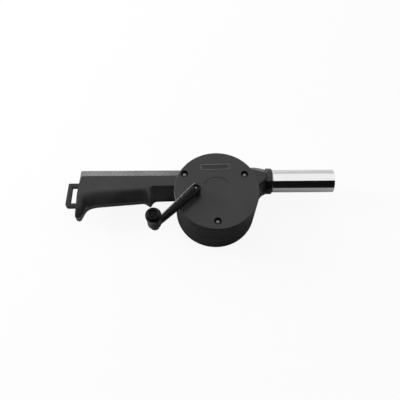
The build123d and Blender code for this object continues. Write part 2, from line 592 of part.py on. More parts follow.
# ---------------------------------------------------------------- the assembly
handle_seat = PARTING_Z - HANDLE_HALF_DEPTH + HANDLE_RECESS_DEPTH
pieces = {
    "front_shell": front_shell(),
    "rear_shell": rear_shell(),
    "badge_plate": badge(BADGE_THICKNESS, 0, DRUM_DEPTH - BADGE_POCKET),
    "cover_screws": [screw(spot, RECESS_FLOOR, SCREW_LENGTH) for spot in BOSS_SPOTS],
    "handle_screws": [screw(spot, handle_seat, HANDLE_SCREW_LENGTH, down=False) for spot in POST_SPOTS],
    "hanging_loop": hanging_loop(),
    "outlet_tube": outlet_tube(),
    "outlet_collar": outlet_collar(),
    "gear_plate": gear_plate(),
    "crank_bush": bush(SHAFT_RADIUS, CRANK_AXIS, FACE_INSIDE, DRUM_DEPTH,
                       FACE_INSIDE - BUSH_FLANGE, FACE_INSIDE),
    "fan_bush_front": bush(FAN_SHAFT_RADIUS, FAN_AXIS, PLATE_BOTTOM, PLATE_TOP,
                           PLATE_BOTTOM - BUSH_FLANGE, PLATE_BOTTOM),
    "fan_bush_rear": bush(FAN_SHAFT_RADIUS, FAN_AXIS, WALL, REAR_BOSS_HEIGHT,
                          REAR_BOSS_HEIGHT, REAR_BOSS_HEIGHT + REAR_FLANGE),
    "idler_axle": cylinder(AXLE_RADIUS, PLATE_BOTTOM, FACE_INSIDE + 0.5 * FRONT_WALL, IDLER_AXIS),
    "crank_shaft": crank_shaft(),
    "drive_gear": drive_gear(),
    "crank_arm": crank_arm(),
    "hub_screw": screw(CRANK_AXIS, HUB_SEAT, HUB_SCREW_LENGTH, radius=HUB_HEAD_RADIUS),
    "knob_pin": knob_pin(),
    "knob_grip": knob_grip(),
    "idler_gear": idler_gear(),
    "impeller": impeller(),
    "fan_shaft": cylinder(FAN_SHAFT_RADIUS, WALL, FAN_SHAFT_END, FAN_AXIS),
    "fan_pinion": fan_pinion(),
    "fan_retainer": fan_retainer(),
}

os.makedirs("parts", exist_ok=True)
for name, piece in pieces.items():
    if isinstance(piece, list):
        piece = Compound(children=[part.solid() for part in piece])
    export_step(piece, f"parts/{name}.step")
    print(name, len(piece.solids()), round(piece.volume, 1))
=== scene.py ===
from math import acos, atan2, cos, pi, radians, sin, sqrt

import bmesh
import bpy
from bpy.props import FloatProperty, FloatVectorProperty, PointerProperty
from mathutils import Matrix, Vector


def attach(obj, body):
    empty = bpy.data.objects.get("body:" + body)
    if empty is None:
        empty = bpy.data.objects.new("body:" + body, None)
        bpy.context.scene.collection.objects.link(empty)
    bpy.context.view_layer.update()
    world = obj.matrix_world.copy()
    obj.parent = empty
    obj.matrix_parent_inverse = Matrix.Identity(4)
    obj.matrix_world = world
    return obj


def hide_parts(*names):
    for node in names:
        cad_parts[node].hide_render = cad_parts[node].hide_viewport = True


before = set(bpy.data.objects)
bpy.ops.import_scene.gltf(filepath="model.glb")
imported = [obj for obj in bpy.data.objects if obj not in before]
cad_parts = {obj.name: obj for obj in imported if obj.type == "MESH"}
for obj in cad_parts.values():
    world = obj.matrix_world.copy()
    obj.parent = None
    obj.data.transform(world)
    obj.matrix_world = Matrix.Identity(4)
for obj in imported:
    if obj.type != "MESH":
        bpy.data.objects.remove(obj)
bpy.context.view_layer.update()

bl_info = {
    "name": "Hand crank forge blower",
    "version": (1, 0, 0),
    "blender": (4, 5, 0),
    "location": "View3D > Sidebar > Blower",
    "description": "Dresses the packed forge blower with moulded shells, crank, outlet and studio",
    "category": "Add Mesh",
}

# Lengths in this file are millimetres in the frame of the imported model: the origin is the centre of
# the drum's back, +Z comes out of the cover and +X runs towards the outlet. A piece is scaled to
# metres when it is finished.
MM = 0.001

# ---------------------------------------------------------------- places and sizes
DRUM_DEPTH = 53.2
FACE_RADIUS = 44.0
BACK_RADIUS = 42.65
WALL = 2.4
PARTING = 26.6
CAVITY_TOP = DRUM_DEPTH - WALL
SHOULDER = 3.4                  # from the parting plane to where handle and duct start to narrow
HANDLE_RISE = 11.4              # from the parting plane to the handle's front flat
DUCT_RISE = 14.4
HANDLE_END = -148.3
HANDLE_ROOT = 130.3
LOOP_DEPTH = 5.0
RECESS_SPOTS = ((-33.19, 19.01), (29.39, 18.22), (0.30, -34.90))
RECESS_RADIUS = 3.6
RECESS_DEPTH = 2.8
HANDLE_SPOTS = ((-62.3, 19.2), (-128.3, 17.0))
HANDLE_RECESS_DEPTH = 2.6
DISC_RADIUS = 14.9
DISC_DEPTH = 0.5
BADGE_PLACE = (-1.1, 26.8)
BADGE_SIZE = (30.4, 6.8)
BADGE_TURN = 1.2
SHAFT = (-21.400, -2.800)
CRANK_REACH = 56.852
CRANK_ANGLE = 224.715
KNOB = (-61.800, -42.800)
ARM_END = 4.1                   # from the shaft's axis to the arm's blunt end
ARM_HUB_RADIUS = 5.1
ARM_TIP_RADIUS = 2.6
ARM_PAD_RADIUS = 4.6
ARM_SLOPE = (1.05, 0.7)         # round the arm's top: across, down
RIB_SLOPE = (0.35, 0.3)
HUB_RADIUS = 4.1
HUB_SKIRT_RADIUS = 4.75         # hides the brass bush in the cover
HUB_FOOT = DRUM_DEPTH + 0.3
SHAFT_BORE = 3.02
SHAFT_BORE_END = 61.3
PIN_BORE = 2.02
RIB_HEIGHT = 0.75
HUB_SEAT = 62.7                 # of the screw's head in the hub
HUB_HEAD_RADIUS = 2.2
ARM_BACK = 59.0
ARM_FRONT = 65.5
KNOB_FOOT = 65.8
KNOB_END = 89.3
TUBE_Y = 23.6
TUBE_RADIUS = 12.15
TUBE_SEAT_RADIUS = 11.95
TUBE_BORE = 11.35
TUBE_START = 44.0
DUCT_END = 53.6
COLLAR_END = 61.0
COLLAR_RADIUS = 14.05
COLLAR_GROOVES = (54.2, 59.3)
SLEEVE_START = 50.2             # the collar's sleeve inside the duct's mouth
SLEEVE_RADIUS = 12.4
TUBE_END = 127.5
INTAKE_RINGS = ((7.4, 11.2), (13.2, 17.0), (19.0, 22.8))
INTAKE_SPOKES = 8
SPOKE_WIDTH = 2.6
RING_STEPS = 128
SLIVER = 0.001                  # edges and faces thinner than this are taken out of a finished piece

# Outlines of the handle, x from the pommel: x, y, trim of the corner (None where the line flows
# through), roundness of the section there
HANDLE_WIDE = (
    (HANDLE_ROOT, 35.9, 0, 0.0), (2.6, 35.9, 1.3, 0.0), (1.3, 21.0, None, 0.1), (0.6, 8.0, None, 0.2),
    (0.0, -5.0, None, 0.3), (0.0, -14.0, None, 0.3), (0.3, -19.6, None, 0.35), (3.4, -21.4, None, 0.4),
    (5.8, -21.0, None, 0.4), (7.3, -18.0, None, 0.35), (9.1, -13.4, None, 0.3), (12.0, -8.6, None, 0.3),
    (18.3, -6.0, None, 0.25), (25.8, -5.1, None, 0.25), (46.3, -3.4, None, 0.25), (72.0, -1.3, 1.5, 0.2),
    (78.7, -5.7, 1.1, 0.15), (81.6, -0.5, None, 0.1), (84.4, 1.1, 1.2, 0.0), (HANDLE_ROOT, 2.3, 0, 0.0))
HANDLE_NARROW = (
    (HANDLE_ROOT, 25.3), (5.4, 25.3), (3.3, 17.0), (2.3, 9.0), (1.9, 4.6), (2.0, 2.6), (2.3, 1.6),
    (2.9, 1.4), (3.7, 2.2), (4.7, 3.4), (6.4, 4.8), (9.6, 6.2), (15.6, 7.6), (25.8, 8.9),
    (46.3, 10.0), (68.3, 11.2), (74.8, 11.9), (78.3, 12.6), (81.2, 13.2), (HANDLE_ROOT, 13.7))

# Outlines of the duct, back from its mouth and up from the tube's axis
DUCT_WIDE = (
    (31.6, 12.9, 0, 0.0), (14.9, 15.4, None, 0.0), (9.9, 15.3, None, 0.0), (3.5, 14.0, None, 0.0),
    (0, 13.0, 0.8, 0.0), (0, 6.4, 0, 0.0), (0, -0.6, 0, 0.0), (0, -7.6, 0, 0.0), (0, -14.3, 0.8, 0.0),
    (1.7, -15.0, None, 0.0), (4.3, -16.4, None, 0.0), (6.4, -19.2, None, 0.0), (9.4, -23.8, None, 0.0),
    (15.6, -31.6, 0, 0.0), (31.6, -31.6, 0, 0.0))
DUCT_NARROW = (
    (31.6, 7.4), (14.7, 7.0), (10.5, 5.8), (6.3, 5.0), (3.2, 4.1), (1.2, 2.2), (0.3, -1.1),
    (0.7, -4.1), (2.2, -5.7), (3.7, -6.9), (5.4, -8.4), (7.1, -9.7), (10.6, -12.6), (17.6, -19.6),
    (31.6, -19.6))


# ---------------------------------------------------------------- settings of the add-on
class BlowerSizes(bpy.types.PropertyGroup):
    parting_groove: FloatProperty(
        name="Parting groove", description="Depth of the groove where the two shells meet",
        default=0.00022, min=0.0, max=0.001, subtype="DISTANCE", unit="LENGTH")
    cover_rounding: FloatProperty(
        name="Cover rounding", description="Radius of the rim of the drum's cover",
        default=0.0009, min=0.0002, max=0.002, subtype="DISTANCE", unit="LENGTH")
    crease_rounding: FloatProperty(
        name="Crease rounding", description="Width of the rounding along the handle's front crease",
        default=0.0005, min=0.0001, max=0.001, subtype="DISTANCE", unit="LENGTH")
    recess_lip: FloatProperty(
        name="Recess lip", description="Width of the rounded lip of each screw recess",
        default=0.00035, min=0.0001, max=0.001, subtype="DISTANCE", unit="LENGTH")
    grain_size: FloatProperty(
        name="Grain size", description="Size of one grain of the moulded surface",
        default=0.00045, min=0.0001, max=0.002, subtype="DISTANCE", unit="LENGTH")


class BlowerColours(bpy.types.PropertyGroup):
    shell: FloatVectorProperty(
        name="Shells", description="Black plastic of the two shells and the grip",
        default=(0.020, 0.020, 0.0215), min=0.0, max=1.0, subtype="COLOR")
    trim: FloatVectorProperty(
        name="Trim", description="Plastic of the collar, the loop and the name plate",
        default=(0.013, 0.013, 0.0138), min=0.0, max=1.0, subtype="COLOR")
    crank: FloatVectorProperty(
        name="Crank", description="Plastic of the crank arm and its knob",
        default=(0.008, 0.008, 0.0085), min=0.0, max=1.0, subtype="COLOR")
    tube: FloatVectorProperty(
        name="Tube", description="Polished steel of the outlet tube",
        default=(0.86, 0.86, 0.87), min=0.0, max=1.0, subtype="COLOR")


def sizes():
    return bpy.context.scene.blower_sizes


def colours():
    return bpy.context.scene.blower_colours


# ---------------------------------------------------------------- drawing
def unit(vector):
    return vector / max(vector.length, 1e-9)


def drawn(nodes, steps=5):
    """Points of a closed outline. A node is (x, y, trim, weight): the corner is cut back by trim
    and rounded, or by half of its shorter side where trim is None. Each point keeps a weight."""
    out = []
    count = len(nodes)
    for i, (x, y, trim, weight) in enumerate(nodes):
        here = Vector((x, y))
        before, after = nodes[i - 1], nodes[(i + 1) % count]
        back, on = Vector(before[:2]) - here, Vector(after[:2]) - here
        if trim == 0:
            out.append((here, weight))
            continue
        if trim is None:
            reach_back, reach_on = back.length / 2, on.length / 2
            if before[2] is not None:
                reach_back = min(reach_back, reach_on)
            if after[2] is not None:
                reach_on = min(reach_on, reach_back)
        else:
            reach_back = reach_on = trim
        start, end = here + unit(back) * reach_back, here + unit(on) * reach_on
        for k in range(steps + 1):
            t = k / steps
            point = (1 - t) ** 2 * start + 2 * t * (1 - t) * here + t * t * end
            towards = before if t < 0.5 else after
            share = abs(t - 0.5)
            out.append((point, weight * (1 - share) + towards[3] * share))
    return out


def inset_by(points, distance):
    """The closed outline moved inwards, for an outline that runs anticlockwise or clockwise."""
    area = sum(a.x * b.y - b.x * a.y for a, b in zip(points, points[1:] + points[:1]))
    sign = 1 if area > 0 else -1
    out = []
    for i, here in enumerate(points):
        along = points[(i + 1) % len(points)] - points[i - 1]
        out.append(here + unit(Vector((-along.y, along.x))) * sign * distance)
    return out


def stacked(wide, narrow, rise, groove, crease, dip=None):
    """Closed solid on both sides of the parting plane, from its wide outline in the middle to the
    narrow one on its two flats, with a fine groove round the parting plane. Where dip gives a
    share, the front slope starts that much nearer to the parting plane."""
    paired = [(x, y, node[2], node[3]) for (x, y), node in zip(narrow, wide)]
    outer, inner = drawn(wide), drawn(paired)
    points, weights = [p for p, _ in outer], [w for _, w in outer]
    ends = [p for p, _ in inner]
    grooved = inset_by(points, groove)
    bevel = 10
    levels = [(0.0, grooved), (0.45 * groove, grooved), (1.45 * groove, points)]
    for k in range(bevel + 1):
        angle = radians(90) * k / bevel
        height = sin(angle)
        ring = []
        for a, b, weight in zip(points, ends, weights):
            share = height * (1 - weight) + (1 - cos(angle)) * weight
            ring.append(a.lerp(b, share))
        levels.append((SHOULDER + (rise - SHOULDER) * height, ring))
    bm = bmesh.new()
    below = [(PARTING - rise_at, ring) for rise_at, ring in reversed(levels)]
    above = [(PARTING + rise_at, ring) for rise_at, ring in levels[1:]]
    stack = below + above
    first = [bm.verts.new((p.x, p.y, stack[0][0])) for p in stack[0][1]]
    face = bm.faces.new(first)
    edges = list(face.edges)
    for height, ring in stack[1:]:
        grown = bmesh.ops.extrude_edge_only(bm, edges=edges)["geom"]
        edges = [e for e in grown if isinstance(e, bmesh.types.BMEdge)]
        moved = order_like(first, edges)
        for vert, p, at in zip(moved, ring, points):
            rise_at = height - PARTING
            if dip and rise_at >= SHOULDER:
                low = SHOULDER * (1 - dip(at))
                rise_at = low + (rise - low) * (rise_at - SHOULDER) / (rise - SHOULDER)
            vert.co = (p.x, p.y, PARTING + rise_at)
        first = moved
    bm.faces.new(first)
    flats = [e for e in bm.edges if abs(abs(e.verts[0].co.z - PARTING) - rise) < 1e-5
             and abs(e.verts[0].co.z - e.verts[1].co.z) < 1e-5]
    low = [e for e in flats if crisp(e, ends, weights)]
    bmesh.ops.bevel(bm, geom=low, offset=crease, segments=2, profile=0.5, affect="EDGES",
                    material=-1, clamp_overlap=True)
    bmesh.ops.recalc_face_normals(bm, faces=bm.faces)
    return bm


def order_like(last, edges):
    """The new ring's vertices in the order of the ring that they grew from."""
    fresh = {vert for edge in edges for vert in edge.verts}
    partner = {}
    for vert in fresh:
        for edge in vert.link_edges:
            other = edge.other_vert(vert)
            if other not in fresh:
                partner[other] = vert
    return [partner[vert] for vert in last]


def crisp(edge, ends, weights):
    """True for an edge of the flat whose section is not rounded already."""
    middle = (edge.verts[0].co + edge.verts[1].co) / 2
    nearest = min(range(len(ends)), key=lambda i: (ends[i].x - middle.x) ** 2 + (ends[i].y - middle.y) ** 2)
    return weights[nearest] < 0.45


def turned(profile, steps=RING_STEPS, axis="Z", at=(0.0, 0.0)):
    """A turned solid. The profile is (radius, height) points round the section; one that starts
    on the axis also ends there. Axis X turns about the outlet's axis."""
    bm = bmesh.new()
    verts = [bm.verts.new((r, 0, h)) for r, h in profile]
    chain = zip(verts, verts[1:] + verts[:1]) if profile[0][0] > 1e-6 else zip(verts, verts[1:])
    edges = [bm.edges.new(pair) for pair in chain]
    bmesh.ops.spin(bm, geom=verts + edges, cent=(0, 0, 0), axis=(0, 0, 1), angle=2 * pi, steps=steps,
                   use_merge=True)
    bmesh.ops.remove_doubles(bm, verts=bm.verts, dist=1e-4)
    bmesh.ops.dissolve_degenerate(bm, dist=1e-4, edges=bm.edges)
    if axis == "X":
        bmesh.ops.rotate(bm, cent=(0, 0, 0), matrix=Matrix.Rotation(pi / 2, 3, "Y"), verts=bm.verts)
        bmesh.ops.translate(bm, vec=(0, TUBE_Y, PARTING), verts=bm.verts)
    else:
        bmesh.ops.translate(bm, vec=(at[0], at[1], 0), verts=bm.verts)
    bmesh.ops.recalc_face_normals(bm, faces=bm.faces)
    return bm


def rounded(corners, steps=4):
    """A profile whose corners are arcs where a corner has a third number, its trim."""
    nodes = [(c[0], c[1], c[2] if len(c) > 2 else 0, 0.0) for c in corners]
    return [(p.x, p.y) for p, _ in drawn(nodes, steps)]


def box(low, high):
    bm = bmesh.new()
    bmesh.ops.create_cube(bm, size=1.0)
    size = Vector(high) - Vector(low)
    bmesh.ops.scale(bm, vec=size, verts=bm.verts)
    bmesh.ops.translate(bm, vec=(Vector(low) + Vector(high)) / 2, verts=bm.verts)
    return bm


def prism(points, low, high, edge=0.0, segments=2, slope=None):
    """A straight prism over an outline, with its upper and lower edges rounded by edge, or with a
    slope round its top, across and down."""
    bm = bmesh.new()
    face = bm.faces.new([bm.verts.new((x, y, low)) for x, y in points])
    grown = bmesh.ops.extrude_face_region(bm, geom=[face])["geom"]
    tops = [v for v in grown if isinstance(v, bmesh.types.BMVert)]
    bmesh.ops.translate(bm, vec=(0, 0, high - low), verts=tops)
    bmesh.ops.recalc_face_normals(bm, faces=bm.faces)
    if slope:
        across, down = slope
        rim = [e for e in bm.edges if all(abs(v.co.z - high) < 1e-6 for v in e.verts)]
        bmesh.ops.bevel(bm, geom=rim, offset=across, segments=1, affect="EDGES", material=-1)
        foot = [v for v in bm.verts if abs(v.co.z - high + across) < 1e-4]
        bmesh.ops.translate(bm, vec=(0, 0, across - down), verts=foot)
    if edge:
        rims = [e for e in bm.edges if abs(e.verts[0].co.z - e.verts[1].co.z) < 1e-6]
        bmesh.ops.bevel(bm, geom=rims, offset=edge, segments=segments, profile=0.5, affect="EDGES",
                        material=-1, clamp_overlap=True)
    return bm


def joined(*parts):
    """One bmesh that holds several."""
    whole = bmesh.new()
    for part in parts:
        mesh = bpy.data.meshes.new("part")
        part.to_mesh(mesh)
        part.free()
        whole.from_mesh(mesh)
        bpy.data.meshes.remove(mesh)
    return whole


def to_object(bm, name):
    mesh = bpy.data.meshes.new(name)
    bm.to_mesh(mesh)
    bm.free()
    made = bpy.data.objects.new(name, mesh)
    bpy.context.scene.collection.objects.link(made)
    return made


def carve(target, tool, operation="DIFFERENCE"):
    """Cuts or joins a bmesh with another one and returns the result as a bmesh."""
    one, other = to_object(target, "carve_target"), to_object(tool, "carve_tool")
    step = one.modifiers.new("carve", "BOOLEAN")
    step.object, step.operation, step.solver = other, operation, "EXACT"
    bpy.context.view_layer.update()
    depsgraph = bpy.context.evaluated_depsgraph_get()
    mesh = bpy.data.meshes.new_from_object(one.evaluated_get(depsgraph))
    bm = bmesh.new()
    bm.from_mesh(mesh)
    for made in (one, other):
        old = made.data
        bpy.data.objects.remove(made)
        bpy.data.meshes.remove(old)
    bpy.data.meshes.remove(mesh)
    bmesh.ops.remove_doubles(bm, verts=bm.verts, dist=2e-4)
    return bm


def face_outwards(bm):
    """Turns the faces of each closed shell outwards, by the sign of the shell's volume."""
    bmesh.ops.recalc_face_normals(bm, faces=bm.faces)
    bm.normal_update()
    left = set(bm.faces)
    while left:
        shell, found = [], [left.pop()]
        while found:
            shell.append(found.pop())
            beside = {other for edge in shell[-1].edges for other in edge.link_faces if other in left}
            left -= beside
            found += beside
        if sum(face.normal.dot(face.calc_center_median()) * face.calc_area() for face in shell) < 0:
            bmesh.ops.reverse_faces(bm, faces=shell)


def close_up(bm):
    """Takes out slivers, fills the small holes that they leave, makes the faces triangles, and deletes
    pairs of triangles that lie back to back."""
    bmesh.ops.dissolve_degenerate(bm, dist=SLIVER, edges=bm.edges)
    bmesh.ops.holes_fill(bm, edges=bm.edges, sides=6)
    bmesh.ops.triangulate(bm, faces=bm.faces)
    bm.verts.index_update()
    shared = {}
    for face in bm.faces:
        shared.setdefault(frozenset(vert.index for vert in face.verts), []).append(face)
    folded = [face for faces in shared.values() if len(faces) > 1 for face in faces]
    bmesh.ops.delete(bm, geom=folded, context="FACES")


def piece(name, bm, material, body, stands_for=(), sharp=32.0, weighted=True):
    """Finishes a piece: closed, scaled to metres, shaded, dressed and seated on its body."""
    close_up(bm)
    face_outwards(bm)
    bmesh.ops.scale(bm, vec=(MM, MM, MM), verts=bm.verts)
    made = to_object(bm, name)
    mesh = made.data
    mesh.shade_smooth()
    mesh.set_sharp_from_angle(angle=radians(sharp))
    mesh.materials.append(material)
    if weighted:
        normals = made.modifiers.new("normals", "WEIGHTED_NORMAL")
        normals.keep_sharp = True
        normals.weight = 60
    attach(made, body)
    if stands_for:
        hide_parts(*stands_for)
    return made


# ---------------------------------------------------------------- materials
class Finish:
    """A material under construction: its nodes, and its shader's sockets."""

    def __init__(self, name):
        self.material = bpy.data.materials.new(name)
        self.material.use_nodes = True
        self.tree = self.material.node_tree
        self.shader = self.tree.nodes["Principled BSDF"]
        self.place = self.tree.nodes.new("ShaderNodeTexCoord").outputs["Object"]

    def set(self, **values):
        for name, value in values.items():
            self.shader.inputs[name.replace("_", " ")].default_value = value

    def node(self, kind, **inputs):
        made = self.tree.nodes.new(kind)
        for name, value in inputs.items():
            socket = made.inputs[name.replace("_", " ")]
            if isinstance(value, bpy.types.NodeSocket):
                self.tree.links.new(value, socket)
            else:
                socket.default_value = value
        return made

    def stretched(self, scale):
        mapping = self.node("ShaderNodeMapping", Vector=self.place)
        mapping.inputs["Scale"].default_value = scale
        return mapping.outputs["Vector"]

    def noise(self, size, detail=3.0, vector=None, roughness=0.5):
        made = self.node("ShaderNodeTexNoise", Vector=vector or self.place, Scale=1 / size,
                         Detail=detail, Roughness=roughness)
        return made.outputs["Fac"]

    def cells(self, size, vector=None):
        made = self.node("ShaderNodeTexVoronoi", Vector=vector or self.place, Scale=1 / size)
        return made.outputs["Distance"]

    def between(self, value, low, high, start=0.3, end=0.7):
        made = self.node("ShaderNodeMapRange", Value=value)
        for socket, number in (("From Min", start), ("From Max", end), ("To Min", low), ("To Max", high)):
            made.inputs[socket].default_value = number
        return made.outputs["Result"]

    def tint(self, value, dark, light, start=0.3, end=0.7):
        ramp = self.node("ShaderNodeValToRGB", Fac=value)
        for element, place, colour in zip(ramp.color_ramp.elements, (start, end), (dark, light)):
            element.position = place
            element.color = (*colour, 1)
        return ramp.outputs["Color"]

    def blend(self, share, first, second):
        made = self.node("ShaderNodeMix")
        made.data_type = "RGBA"
        for name, value in (("Factor", share), ("A", first), ("B", second)):
            socket = [s for s in made.inputs if s.name == name and s.enabled][0]
            if isinstance(value, bpy.types.NodeSocket):
                self.tree.links.new(value, socket)
            else:
                socket.default_value = value
        return [s for s in made.outputs if s.enabled][0]

    def link(self, value, name):
        self.tree.links.new(value, self.shader.inputs[name])

    def bump(self, height, strength, distance, normal=None):
        made = self.node("ShaderNodeBump", Height=height, Strength=strength, Distance=distance)
        if normal is not None:
            self.tree.links.new(normal, made.inputs["Normal"])
        return made.outputs["Normal"]


def shaded(colour, share):
    return tuple(min(1.0, c * share) for c in colour)


def grained_plastic(name, colour, rough, grain, depth, sheen=0.5):
    """Moulded plastic: a fine even grain, faint flow marks and a few duller patches."""
    finish = Finish(name)
    patches = finish.noise(0.022, 4.0)
    finish.link(finish.tint(patches, shaded(colour, 0.86), shaded(colour, 1.16)), "Base Color")
    finish.link(finish.between(patches, rough - 0.05, rough + 0.06), "Roughness")
    finish.set(Specular_IOR_Level=sheen, IOR=1.5)
    flow = finish.bump(finish.noise(0.008, 2.0), 0.12, 0.0002)
    pebbles = finish.bump(finish.cells(grain), 0.35, depth, flow)
    finish.link(finish.bump(finish.noise(grain * 0.6, 3.0), 0.4, depth, pebbles), "Normal")
    return finish.material


def glossy_plastic(name, colour, rough, sheen=0.3):
    """Smoother moulded plastic with handling marks: long faint scratches and dull smears."""
    finish = Finish(name)
    smears = finish.noise(0.009, 5.0)
    finish.link(finish.tint(smears, shaded(colour, 0.85), shaded(colour, 1.2)), "Base Color")
    finish.link(finish.between(smears, rough - 0.06, rough + 0.1), "Roughness")
    finish.set(Specular_IOR_Level=sheen, IOR=1.5)
    waves = finish.bump(finish.noise(0.004, 2.0), 0.1, 0.00015)
    finish.link(finish.bump(finish.noise(0.0004, 2.0), 0.15, 0.00002, waves), "Normal")
    return finish.material


def plastic_painted_light_below(name, below, above, start, end):
    """Smooth moulded plastic, dull below and dark and glossy above a height; its lighter colour below is
    painted light, a painted reflection of the floor.
    """
    finish = Finish(name)
    split = finish.node("ShaderNodeSeparateXYZ", Vector=finish.place)
    height = finish.between(split.outputs["Z"], 0.0, 1.0, start, end)
    smears = finish.noise(0.007, 5.0)
    body = finish.tint(smears, shaded(below, 0.85), shaded(below, 1.15))
    rim = finish.tint(smears, shaded(above, 0.8), shaded(above, 1.2))
    finish.link(finish.blend(height, body, rim), "Base Color")
    finish.link(finish.between(height, 0.48, 0.3, 0.0, 1.0), "Roughness")
    finish.set(Specular_IOR_Level=0.2, IOR=1.5)
    finish.link(finish.bump(finish.noise(0.0004, 3.0), 0.2, 0.00002), "Normal")
    return finish.material


def polished_tube(name, colour):
    """Bright steel tube, polished along its length, with faint drawing lines and smudges."""
    finish = Finish(name)
    finish.set(Metallic=1.0)
    smudges = finish.noise(0.012, 4.0)
    finish.link(finish.tint(smudges, shaded(colour, 0.96), colour), "Base Color")
    finish.link(finish.between(smudges, 0.035, 0.075), "Roughness")
    lines = finish.noise(0.0009, 2.0, finish.stretched((0.02, 1, 1)))
    finish.link(finish.bump(lines, 0.03, 0.00002), "Normal")
    return finish.material


def machined(name, colour, rough, stretch, size=0.0006):
    """Turned, ground or plated metal with fine tool marks along the stretched direction."""
    finish = Finish(name)
    finish.set(Metallic=1.0)
    marks = finish.noise(size, 3.0, finish.stretched(stretch))
    tone = finish.noise(0.004, 3.0)
    finish.link(finish.tint(tone, shaded(colour, 0.82), shaded(colour, 1.08)), "Base Color")
    finish.link(finish.between(marks, rough - 0.06, rough + 0.1), "Roughness")
    finish.link(finish.bump(marks, 0.25, 0.00003), "Normal")
    return finish.material


def nylon(name):
    """Natural nylon of the gears, slightly translucent, with a film of grease in places."""
    finish = Finish(name)
    tone = finish.noise(0.006, 4.0)
    finish.link(finish.tint(tone, (0.62, 0.59, 0.5), (0.78, 0.76, 0.7)), "Base Color")
    finish.link(finish.between(finish.noise(0.003, 3.0), 0.28, 0.5), "Roughness")
    finish.link(finish.bump(finish.noise(0.0005, 2.0), 0.15, 0.00003), "Normal")
    return finish.material


# ---------------------------------------------------------------- stage
CAMERA_PLACE = (-24.29, -257.97, 554.24)
CAMERA_FORWARD = (0.0124, 0.4412, -0.8973)
CAMERA_ROLL = 1.08
PHOTO_WIDTH = 400
FOCAL_PIXELS = 550.0


class BLOWER_OT_camera(bpy.types.Operator):
    """Sets the camera at the photograph's viewing angle"""
    bl_idname = "blower.camera"
    bl_label = "Camera"

    def execute(self, context):
        camera = bpy.data.cameras.new("camera")
        camera.sensor_fit = "HORIZONTAL"
        camera.sensor_width = 36.0
        camera.lens = camera.sensor_width * FOCAL_PIXELS / PHOTO_WIDTH
        camera.clip_start, camera.clip_end = 0.01, 20.0
        made = bpy.data.objects.new("camera", camera)
        context.scene.collection.objects.link(made)
        forward = Vector(CAMERA_FORWARD).normalized()
        right = forward.cross(Vector((0, 0, 1))).normalized()
        up = right.cross(forward)
        roll = radians(CAMERA_ROLL)
        across, upward = right * cos(roll) + up * sin(roll), up * cos(roll) - right * sin(roll)
        turn = Matrix((across, upward, -forward)).transposed()
        made.matrix_world = Matrix.Translation(Vector(CAMERA_PLACE) * MM) @ turn.to_4x4()
        context.scene.camera = made
        return {"FINISHED"}


def world_by_direction():
    """Soft studio round the part: white overhead, a grey backdrop behind and a dark room in front.
    The camera sees white."""
    world = bpy.data.worlds.new("studio")
    bpy.context.scene.world = world
    world.use_nodes = True
    nodes, links = world.node_tree.nodes, world.node_tree.links
    background = nodes["Background"]
    place = nodes.new("ShaderNodeTexCoord")
    split = nodes.new("ShaderNodeSeparateXYZ")
    links.new(place.outputs["Generated"], split.inputs[0])
    angle = nodes.new("ShaderNodeMath")
    angle.operation = "ARCTAN2"
    links.new(split.outputs["Z"], angle.inputs[0])
    links.new(split.outputs["Y"], angle.inputs[1])
    share = nodes.new("ShaderNodeMapRange")
    links.new(angle.outputs[0], share.inputs["Value"])
    share.inputs["From Min"].default_value = -pi
    share.inputs["From Max"].default_value = pi
    ramp = nodes.new("ShaderNodeValToRGB")
    links.new(share.outputs["Result"], ramp.inputs["Fac"])
    stops = ((-180, 0.006), (-90, 0.3), (0, 0.62), (32, 0.66), (40, 1.0), (112.5, 1.0), (114.3, 0.006))
    elements = ramp.color_ramp.elements
    while len(elements) > 1:
        elements.remove(elements[-1])
    for i, (direction, value) in enumerate(stops):
        position = (direction + 180) / 360
        element = elements[0] if i == 0 else elements.new(position)
        element.position = position
        element.color = (value, value, value, 1)
    path = nodes.new("ShaderNodeLightPath")
    mix = nodes.new("ShaderNodeMix")
    mix.data_type = "RGBA"
    links.new(path.outputs["Is Camera Ray"], mix.inputs["Factor"])
    links.new(ramp.outputs["Color"], mix.inputs["A"])
    mix.inputs["B"].default_value = (1, 1, 1, 1)
    links.new(mix.outputs["Result"], background.inputs["Color"])


